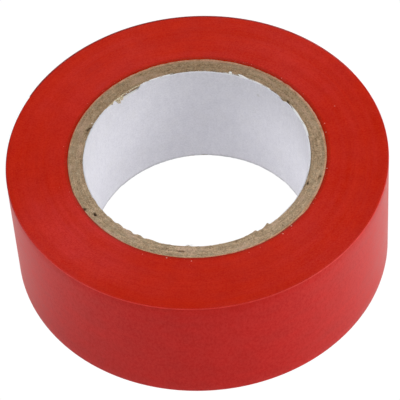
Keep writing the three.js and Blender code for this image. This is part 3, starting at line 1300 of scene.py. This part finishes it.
def lip_fibres(rng, verts, faces):
    """White fibres of lining paper along the bore's lip."""
    for centre, spread, count, longest in FIBRE_CLUSTERS:
        for _ in range(count):
            deg = centre + rng.normal(0, spread * 0.5)
            length = longest * rng.uniform(0.4, 1.0)
            lip = float(bore_lip(np.array([math.radians(deg)]), 1)[0])
            radius = 15.98 - lip + rng.uniform(-0.10, 0.05)
            root_z = HEIGHT - 0.02 - rng.uniform(0, 0.05)
            swing = rng.normal(0, 1.2)
            inward = rng.uniform(-0.1, 0.75)
            up = rng.uniform(-0.35, 0.2)
            points = []
            for t in np.linspace(0, 1, 5):
                turn = math.degrees(swing * length * t / 16)
                z = min(root_z + up * length * t - 0.25 * length * t * t, HEIGHT - 0.02)
                points.append(polar_point(radius - inward * length * t, deg + turn, z))
            hair(points, rng.uniform(0.022, 0.042), verts, faces)


def board_fibres(rng, verts, faces):
    """Tan fibres standing up from the board's cut face."""
    for _ in range(70):
        deg = rng.uniform(-180, 180)
        length = rng.uniform(0.12, 0.34)
        radius = rng.uniform(16.05, 17.95)
        z = HEIGHT - cut_depth_at(radius, deg) - 0.01
        swing = rng.normal(0, 1.5)
        points = []
        for t in np.linspace(0, 1, 4):
            out = radius + rng.normal(0, 0.05) + 0.2 * length * t
            turn = math.degrees(swing * length * t / 17)
            points.append(polar_point(out, deg + turn, z + 0.22 * length * t))
        hair(points, rng.uniform(0.014, 0.026), verts, faces)


def lip_crumbs(rng, verts, faces):
    for centre, centre_r, size, count, spread in CRUMBS:
        for _ in range(count):
            deg = centre + rng.uniform(-1, 1) * spread
            radius = centre_r + rng.uniform(-0.04, 0.04)
            low = cut_depth_at(radius, deg) if radius > 16.02 else 0.07
            crumb = size * rng.uniform(0.7, 1.1)
            z = min(HEIGHT - low + 0.25 * crumb, HEIGHT + 0.02)
            shard(verts, faces, polar_point(radius, deg, z), crumb, rng)


def lip_burrs(verts, faces):
    """Burrs the knife pushed inwards, four ribbons to each."""
    for deg, reach, lean, width in BURRS:
        for j in range(4):
            offset = (j - 1.5) * width * 2.2
            length = (reach + 0.12) * (1 - 0.16 * abs(j - 1.5))
            points = []
            for t in np.linspace(0, 1, 5):
                turn = offset * (1 - t) + lean * t
                z = HEIGHT - 0.085 - 0.05 * t * t
                points.append(polar_point(16.12 - length * t, deg + turn, z))
            hair(points, width * 0.55, verts, faces, thick=0.5)


def fuzz():
    rng = np.random.default_rng(23)
    white, tan = ([], []), ([], [])
    lip_fibres(rng, *white)
    board_fibres(rng, *tan)
    lip_crumbs(rng, *white)
    lip_burrs(*tan)
    ride_roll(make("core_fuzz_white", *white, [MAT_CRUMB]))
    ride_roll(make("core_fuzz_tan", *tan, [MAT_BOARD_PALE]))


def torn_flap(name, size_at, base_r, start_z, reach, hang, seed, mat):
    """Lining paper torn off the board, leaning into the bore.

    size_at and base_r: (degrees, value) stations of its size and of the radius of its root;
    start_z: depth of the root; reach, hang: how far a flap of size 1 leans in and drops.
    """
    cols, half_rows = 200, 9
    deg = np.linspace(size_at[0][0], size_at[-1][0], cols)
    theta = np.radians(deg)
    line = np.stack([deg, deg * 0, deg * 0], -1)
    jag = 1 + 0.24 * noise3(line, size=1.3, seed=seed) + 0.20 * noise3(line, 0.45, seed + 1)
    size = np.clip(np.interp(deg, *zip(*size_at)) * jag, 0.02, 1.4)
    base = np.interp(deg, *zip(*base_r))
    rows = []
    for under in (False, True):
        order = range(half_rows)
        for j in order[::-1] if under else order:
            t = j / (half_rows - 1)
            crumple = 0.030 * noise3(ring_points(15.8, theta, 3.0 * t), 0.5, seed + 2)
            radius = base - reach * size * t**0.8 + crumple * t
            z = HEIGHT - start_z - hang * size * t**1.5 + 0.5 * crumple * t - 0.02 * (1 - t)
            if under:
                thick = 0.05 * (1 - 0.6 * t)
                radius = radius + thick * 0.5
                z = z - thick
            rows.append(ring_points(radius, theta, z))
    ob = make_closed(name, rows, strip_faces(len(rows), cols), [mat], sharp_deg=50)
    ride_roll(ob)


def torn_flaps():
    # the pale lip of torn paper along the edge, then the two leaves it split into
    torn_flap(
        "core_torn_lip",
        size_at=(
            (112.0, 0.0), (114.5, 0.5), (118.0, 0.75), (122.0, 0.45), (127.0, 0.45),
            (130.5, 1.15), (132.0, 1.2), (134.0, 0.85), (138.0, 0.8), (141.0, 0.6), (142.5, 0.0),
        ),
        base_r=((112.0, 16.05), (142.5, 16.10)),
        start_z=0.045, reach=0.26, hang=0.10, seed=13, mat=MAT_TORN,
    )
    torn_flap(
        "core_torn_flap",
        size_at=(
            (128.2, 0.15), (129.4, 0.75), (130.6, 0.6), (131.6, 1.05), (132.6, 1.0), (133.6, 0.2),
        ),
        base_r=((128.2, 15.93), (133.6, 15.93)),
        start_z=0.30, reach=0.34, hang=0.42, seed=17, mat=MAT_TORN,
    )
    torn_flap(
        "core_torn_leaf",
        size_at=(
            (119.0, 0.1), (121.5, 0.9), (124.0, 0.6), (126.0, 1.0), (128.0, 0.8), (130.0, 0.2),
        ),
        base_r=((119.0, 15.92), (130.0, 15.86)),
        start_z=0.42, reach=0.26, hang=0.30, seed=19, mat=MAT_CRUMB,
    )
    # white fringes where the lining split along the lip
    torn_flap(
        "core_white_fringe_rear",
        size_at=(
            (45.0, 0.0), (46.5, 0.7), (48.0, 0.3), (51.0, 0.35), (53.0, 0.95), (54.5, 0.4),
            (58.5, 0.35), (60.2, 0.9), (61.6, 1.1), (63.2, 1.5), (64.6, 1.6), (65.2, 0.25),
            (66.8, 0.2), (67.6, 0.5), (68.3, 0.5), (68.8, 1.7), (69.9, 1.7), (70.3, 0.2),
            (71.4, 0.4), (73.0, 0.0),
        ),
        base_r=(
            (45.0, 16.10), (60.0, 16.12), (63.0, 16.32), (65.0, 16.36), (65.4, 16.14),
            (68.4, 16.14), (68.8, 16.46), (69.9, 16.48), (70.4, 16.14), (73.0, 16.10),
        ),
        start_z=-0.005, reach=0.20, hang=0.03, seed=41, mat=MAT_CRUMB,
    )
    torn_flap(
        "core_white_fringe_right",
        size_at=(
            (7.0, 0.0), (9.0, 0.8), (11.5, 1.0), (14.0, 1.3), (16.0, 0.9), (17.5, 0.5),
            (20.0, 0.5), (22.5, 1.1), (25.0, 0.9), (26.5, 1.2), (28.5, 0.5), (31.0, 0.0),
        ),
        base_r=((7.0, 16.12), (14.0, 16.20), (20.0, 16.12), (24.0, 16.18), (31.0, 16.14)),
        start_z=0.005, reach=0.20, hang=0.04, seed=43, mat=MAT_CRUMB,
    )
    torn_flap(
        "core_white_fringe_left",
        size_at=(
            (99.0, 0.0), (101.5, 0.6), (103.0, 1.0), (104.5, 0.7), (106.5, 0.3),
            (108.5, 0.7), (111.0, 0.9), (112.0, 0.1),
        ),
        base_r=((99.0, 16.10), (112.0, 16.10)),
        start_z=0.015, reach=0.18, hang=0.05, seed=47, mat=MAT_CRUMB,
    )
    torn_flap(
        "core_torn_flap_small",
        size_at=((33.2, 0.0), (34.4, 0.7), (35.4, 0.8), (37.0, 0.45), (38.5, 0.5), (40.5, 0.0)),
        base_r=((33.2, 16.05), (40.5, 16.05)),
        start_z=0.06, reach=0.20, hang=0.22, seed=29, mat=MAT_TORN,
    )


def paper_dust():
    """Specks of paper dust lying on the tape's side face next to the core."""
    rng = np.random.default_rng(31)
    verts, faces = [], []
    spots = list(DUST)
    for _ in range(34):
        radius = 18.36 + abs(rng.normal(0, 0.5))
        spots.append((radius, rng.uniform(-180, 180), rng.uniform(0.02, 0.05)))
    sides = 7
    for radius, deg, size in spots:
        centre = np.array(polar_point(max(radius, 18.42), deg, HEIGHT - 0.015))
        base = len(verts)
        turn = rng.uniform(0, TAU)
        for j in range(sides):
            lon = turn + TAU * j / sides
            reach = 0.72 * size * rng.uniform(0.55, 1.1)
            lift = rng.uniform(-0.004, 0.012)
            edge = np.array([reach * math.cos(lon) * 1.3, reach * math.sin(lon), lift])
            verts.append((centre + edge).tolist())
        verts.append((centre + np.array([0, 0, size * 0.32])).tolist())
        verts.append((centre - np.array([0, 0, 0.02])).tolist())
        for j in range(sides):
            m = (j + 1) % sides
            faces.append([base + j, base + m, base + sides])
            faces.append([base + m, base + j, base + sides + 1])
    ride_roll(make("paper_dust", verts, faces, [MAT_DUST], smooth=False))


wound_turns()
last_turn()
free_strip()
for k in range(1, KRAFT_PLY):
    board_mat = MAT_BOARD if k % 2 else MAT_BOARD_PALE
    board_ply("core_board_%d" % k, k, "core_board_ply_%d" % k, board_mat)
board_ply("core_kraft", KRAFT_PLY, "core_kraft_ply", MAT_KRAFT, cells=3)
liner()
fuzz()
torn_flaps()
paper_dust()


# ---------------------------------------------------------------- stage, light and camera
FLOOR_GLOW = 0.368
FLOOR_HALF = 3000.0
FLOOR_Z = -0.02
BACKDROP_WHITE = 1.02  # what the lens sees of the floor and the world

LAMP_SIDE = 300
LAMP_DISTANCE = 600.0
LAMP_TARGET = (0, 0, 9)
LAMPS = {
    # name: (azimuth, elevation in degrees, power in W)
    "rear": (90, 35, 1.23),
    "right": (0, 35, 0.70),
    "right_front": (-20, 35, 0.89),
    "right_rear": (45, 35, 0.42),
    "right_high": (0, 57, 0.17),
    "front_low": (-45, 12, 0.57),
    "left": (180, 35, 0.85),
    "left_front": (200, 35, 0.31),
    "left_near": (225, 35, 0.13),
    "left_high": (135, 57, 0.11),
}

CAMERA_LENS = 231.1225
CAMERA_PLACE = (0.0, -233.2745, 284.1745 + HEIGHT / 2)
CAMERA_RIGHT = Vector((0.99729024, -0.05693454, -0.04658999))
CAMERA_UP = Vector((0.07356741, 0.77116816, 0.63236659))
CAMERA_AHEAD = Vector((0.00007479, 0.63408054, -0.77326701))


def floor():
    """A pale floor: blown out to white for the lens, a soft glow for all that stands on it."""
    mat = Nodes("pale_floor")
    diffuse = mat.new("ShaderNodeBsdfDiffuse")
    diffuse.inputs["Color"].default_value = (0.80, 0.80, 0.80, 1)
    glow = mat.new("ShaderNodeEmission")
    glow.inputs["Strength"].default_value = FLOOR_GLOW
    both = mat.new("ShaderNodeAddShader")
    mat.link(diffuse.outputs[0], both.inputs[0])
    mat.link(glow.outputs[0], both.inputs[1])
    seen = mat.new("ShaderNodeEmission")
    seen.inputs["Strength"].default_value = BACKDROP_WHITE
    path = mat.new("ShaderNodeLightPath")
    mixer = mat.new("ShaderNodeMixShader")
    mat.link(path.outputs["Is Camera Ray"], mixer.inputs[0])
    mat.link(both.outputs[0], mixer.inputs[1])
    mat.link(seen.outputs[0], mixer.inputs[2])
    mat.link(mixer.outputs[0], mat.out.inputs["Surface"])
    corners = ((-1, -1), (1, -1), (1, 1), (-1, 1))
    verts = [(x * FLOOR_HALF, y * FLOOR_HALF, FLOOR_Z) for x, y in corners]
    make("floor", verts, [[0, 1, 2, 3]], [mat.data], smooth=False)


def lamp(name, azimuth, elevation, power):
    """A square lamp on a dome round the roll, aimed at its middle."""
    light = bpy.data.lights.new(name, "AREA")
    light.shape = "RECTANGLE"
    light.size = light.size_y = LAMP_SIDE * MM
    light.energy = power
    tilt = math.radians(elevation)
    x, y, _ = polar_point(LAMP_DISTANCE * math.cos(tilt), azimuth, 0)
    z = LAMP_DISTANCE * math.sin(tilt) + LAMP_TARGET[2]
    ob = bpy.data.objects.new(name, light)
    ob.location = Vector((x, y, z)) * MM
    aim = Vector(LAMP_TARGET) * MM - ob.location
    ob.rotation_mode = "QUATERNION"
    ob.rotation_quaternion = aim.to_track_quat("-Z", "Y")
    bpy.context.scene.collection.objects.link(ob)


def studio_world():
    """Dark beyond the lamps, but the lens sees a white backdrop behind the floor."""
    world = bpy.data.worlds.new("studio")
    bpy.context.scene.world = world
    world.use_nodes = True
    nodes, links = world.node_tree.nodes, world.node_tree.links
    dark = nodes["Background"]
    dark.inputs["Color"].default_value = (1, 1, 1, 1)
    dark.inputs["Strength"].default_value = 0.0
    backdrop = nodes.new("ShaderNodeBackground")
    backdrop.inputs["Color"].default_value = (1, 1, 1, 1)
    backdrop.inputs["Strength"].default_value = BACKDROP_WHITE
    path = nodes.new("ShaderNodeLightPath")
    mixer = nodes.new("ShaderNodeMixShader")
    links.new(path.outputs["Is Camera Ray"], mixer.inputs[0])
    links.new(dark.outputs[0], mixer.inputs[1])
    links.new(backdrop.outputs[0], mixer.inputs[2])
    links.new(mixer.outputs[0], nodes["World Output"].inputs["Surface"])


def camera():
    data = bpy.data.cameras.new("camera")
    ob = bpy.data.objects.new("camera", data)
    bpy.context.scene.collection.objects.link(ob)
    data.sensor_width = 36.0
    data.lens = CAMERA_LENS
    data.clip_start = 0.01
    data.clip_end = 20.0
    rotation = Matrix((CAMERA_RIGHT, CAMERA_UP, -CAMERA_AHEAD)).transposed()
    ob.rotation_mode = "QUATERNION"
    ob.rotation_quaternion = rotation.to_quaternion()
    ob.location = Vector(CAMERA_PLACE) * MM
    bpy.context.scene.camera = ob


floor()
for name, (azimuth, elevation, power) in LAMPS.items():
    lamp("light_" + name, azimuth, elevation, power)
studio_world()
bpy.context.scene.view_settings.view_transform = "Standard"
bpy.context.scene.view_settings.look = "None"
camera()
